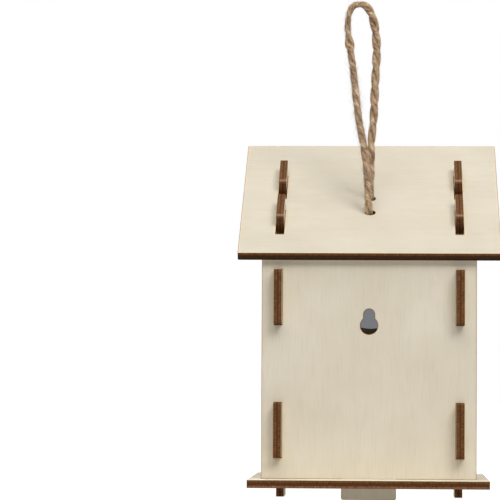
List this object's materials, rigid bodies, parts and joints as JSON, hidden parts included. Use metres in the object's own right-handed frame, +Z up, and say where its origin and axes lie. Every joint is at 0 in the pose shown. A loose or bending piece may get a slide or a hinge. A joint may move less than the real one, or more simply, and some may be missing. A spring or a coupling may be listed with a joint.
{
  "type": "hanging bird feeder",
  "caption": "Plywood hanging bird feeder: slotted box on a base tray, pent roof hooked over the side walls, round entrance, keyhole in the back and a twine loop.",
  "frame": {"origin": "centre of the box's footprint, on the surface that the tabs under the base stand on", "axes": "+Z up, +Y to the front wall with the round entrance, +X to the right seen from behind; -Y is the back wall with the keyhole"},
  "size_m": [0.1348, 0.131, 0.2614],
  "materials": {
    "plywood": "matte, bare laser-cut birch or poplar plywood with scorched brown edges",
    "jute_twine": "matte two-ply jute with loose fibres"
  },
  "bodies": {
    "house": {"base": "plywood", "back_wall": "plywood", "front_wall": "plywood", "left_side_wall": "plywood", "right_side_wall": "plywood"},
    "lifting_roof": {"roof": "plywood", "hanging_cord": "jute_twine", "knot_lower": "jute_twine", "knot_upper": "jute_twine"}
  },
  "joints": [
    {"name": "roof_slide", "type": "slide", "parent": "house", "child": "lifting_roof", "axis": [0, 0.866, 0.5], "range_m": [0, 0.009]}
  ]
}
